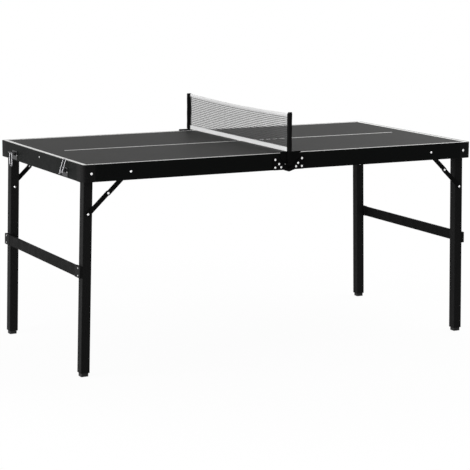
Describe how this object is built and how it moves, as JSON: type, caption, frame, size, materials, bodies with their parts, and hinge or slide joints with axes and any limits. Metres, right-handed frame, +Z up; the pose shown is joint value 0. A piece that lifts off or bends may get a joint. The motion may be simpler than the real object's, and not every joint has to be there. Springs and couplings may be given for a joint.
{
  "type": "folding ping pong table",
  "caption": "Small folding table tennis table in a riveted frame with hinged halves, fold-under braced legs, end latches, a carry handle and a lift-off net set.",
  "frame": {"origin": "centre of the table at floor level, under the seam between the halves", "axes": "+X along the table's length towards the carry handle's end, +Y across it along the net, +Z up from the floor"},
  "size_m": [1.5607, 0.7858, 0.847],
  "materials": {
    "board": "smooth dark laminate, low gloss, with a light border line and centre line",
    "frame": "black powder coat, satin",
    "leg": "black powder coat, satin",
    "hinge": "black, satin",
    "link": "black, satin",
    "rivet": "bare, semi-bright",
    "latch": "plated, bright",
    "corner": "moulded, fine texture",
    "foot": "matt",
    "cap": "moulded, fine texture",
    "post": "black, satin",
    "net": "open knotted net, dark thread",
    "tape": "woven tape, white",
    "sleeve": "woven, dark"
  },
  "bodies": {
    "left_half": {"left_board": "board", "left_front_rail": "frame", "left_back_rail": "frame", "left_end_rail": "frame", "left_inner_rail": "frame", "left_corners": "corner", "left_rail_plugs": "corner", "left_beam": "frame", "left_hinge_leaves": "hinge", "left_frame_rivets": "rivet", "left_leg_bolts": "rivet", "left_leg_spacers": "cap", "hinge_pins": "rivet", "latch_bases": "latch", "latch_pins": "rivet", "net_sockets": "post"},
    "left_legs": {"left_front_leg": "leg", "left_back_leg": "leg", "left_crossbar": "leg", "left_bar_caps": "cap", "left_leg_rivets": "rivet", "left_feet": "foot"},
    "left_upper_links": {"left_upper_links": "link", "left_link_rivets": "rivet"},
    "left_lower_links": {"left_lower_links": "link"},
    "right_half": {"right_board": "board", "right_front_rail": "frame", "right_back_rail": "frame", "right_end_rail": "frame", "right_inner_rail": "frame", "right_corners": "corner", "right_rail_plugs": "corner", "right_beam": "frame", "right_hinge_leaves": "hinge", "right_frame_rivets": "rivet", "right_leg_bolts": "rivet", "right_leg_spacers": "cap", "catches": "latch", "handle_mounts": "corner"},
    "right_legs": {"right_front_leg": "leg", "right_back_leg": "leg", "right_crossbar": "leg", "right_bar_caps": "cap", "right_leg_rivets": "rivet", "right_feet": "foot"},
    "right_upper_links": {"right_upper_links": "link", "right_link_rivets": "rivet"},
    "right_lower_links": {"right_lower_links": "link"},
    "front_latch_lever": {"front_latch_lever": "latch"},
    "front_latch_bail": {"front_latch_bail": "latch"},
    "back_latch_lever": {"back_latch_lever": "latch"},
    "back_latch_bail": {"back_latch_bail": "latch"},
    "carry_handle": {"handle_grip": "corner"},
    "net_set": {"net_posts": "post", "net_brackets": "post", "net_sleeves": "sleeve", "net_mesh": "net", "net_top_tape": "tape", "net_bottom_tape": "tape"}
  },
  "joints": [
    {"name": "halves_fold", "type": "hinge", "parent": "left_half", "child": "right_half", "pos_m": [0, 0, 0.65], "axis": [0, 1, 0], "range_deg": [0, 90]},
    {"name": "left_legs_fold", "type": "hinge", "parent": "left_half", "child": "left_legs", "pos_m": [-0.7273, 0, 0.6775], "axis": [0, -1, 0], "range_deg": [0, 91.5]},
    {"name": "left_upper_links_turn", "type": "hinge", "parent": "left_half", "child": "left_upper_links", "pos_m": [-0.5883, 0, 0.6775], "axis": [0, -1, 0], "range_deg": [-43.5, 0]},
    {"name": "left_lower_links_turn", "type": "hinge", "parent": "left_legs", "child": "left_lower_links", "pos_m": [-0.73083, 0, 0.54255], "axis": [0, -1, 0], "range_deg": [0, 45.1]},
    {"name": "right_legs_fold", "type": "hinge", "parent": "right_half", "child": "right_legs", "pos_m": [0.7273, 0, 0.6775], "axis": [0, 1, 0], "range_deg": [0, 91.5]},
    {"name": "right_upper_links_turn", "type": "hinge", "parent": "right_half", "child": "right_upper_links", "pos_m": [0.5883, 0, 0.6775], "axis": [0, 1, 0], "range_deg": [-43.5, 0]},
    {"name": "right_lower_links_turn", "type": "hinge", "parent": "right_legs", "child": "right_lower_links", "pos_m": [0.73083, 0, 0.54255], "axis": [0, 1, 0], "range_deg": [0, 45.1]},
    {"name": "front_lever_turn", "type": "hinge", "parent": "left_half", "child": "front_latch_lever", "pos_m": [-0.767, -0.235, 0.674], "axis": [0, 1, 0], "range_deg": [0, 134]},
    {"name": "front_bail_turn", "type": "hinge", "parent": "front_latch_lever", "child": "front_latch_bail", "pos_m": [-0.77488, -0.235, 0.66784], "axis": [0, 1, 0], "range_deg": [-146.1, 0]},
    {"name": "back_lever_turn", "type": "hinge", "parent": "left_half", "child": "back_latch_lever", "pos_m": [-0.767, 0.235, 0.674], "axis": [0, 1, 0], "range_deg": [-86, 75]},
    {"name": "back_bail_turn", "type": "hinge", "parent": "back_latch_lever", "child": "back_latch_bail", "pos_m": [-0.77634, 0.235, 0.67758], "axis": [0, 1, 0], "range_deg": [-75.1, 86.1]},
    {"name": "handle_turn", "type": "hinge", "parent": "right_half", "child": "carry_handle", "pos_m": [0.771, 0, 0.681], "axis": [0, -1, 0], "range_deg": [0, 90]},
    {"name": "net_lift", "type": "slide", "parent": "left_half", "child": "net_set", "axis": [0, 0, 1], "range_m": [0, 0.12]}
  ],
  "couplings": [
    {"joint": "left_upper_links_turn", "follows": "left_legs_fold", "ratio": -0.4747},
    {"joint": "left_lower_links_turn", "follows": "left_legs_fold", "ratio": 0.49251},
    {"joint": "right_upper_links_turn", "follows": "right_legs_fold", "ratio": -0.4747},
    {"joint": "right_lower_links_turn", "follows": "right_legs_fold", "ratio": 0.49251},
    {"joint": "front_bail_turn", "follows": "front_lever_turn", "ratio": -1.0896},
    {"joint": "back_bail_turn", "follows": "back_lever_turn", "ratio": -1}
  ]
}
